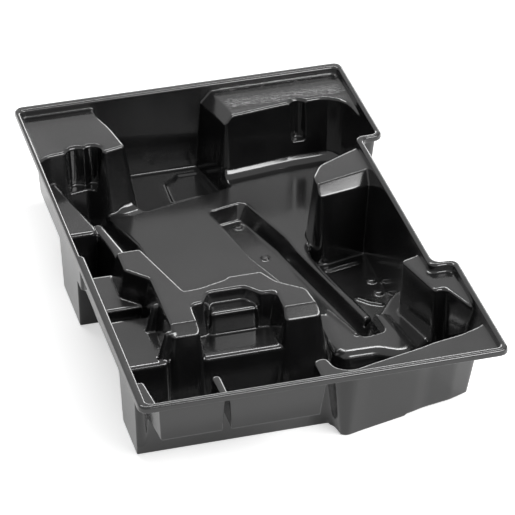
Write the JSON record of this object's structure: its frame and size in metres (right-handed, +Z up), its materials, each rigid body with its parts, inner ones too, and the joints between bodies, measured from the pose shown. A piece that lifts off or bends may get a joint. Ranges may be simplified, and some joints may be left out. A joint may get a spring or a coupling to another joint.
{
  "type": "tool case insert",
  "caption": "Thermoformed black tray insert for a tool case, with flat lands, ledges, a high island, a long trench and deep pockets inside a turned rim.",
  "frame": {"origin": "centre of the tray's plan at the level of its lowest floor's underside, which stands on the surface", "axes": "+X to the right along the short side, +Y to the back along the long side, +Z up"},
  "size_m": [0.2426, 0.3766, 0.066],
  "materials": {
    "black_sheet": "glossy"
  },
  "bodies": {
    "root": {"tray": "black_sheet"}
  },
  "joints": []
}
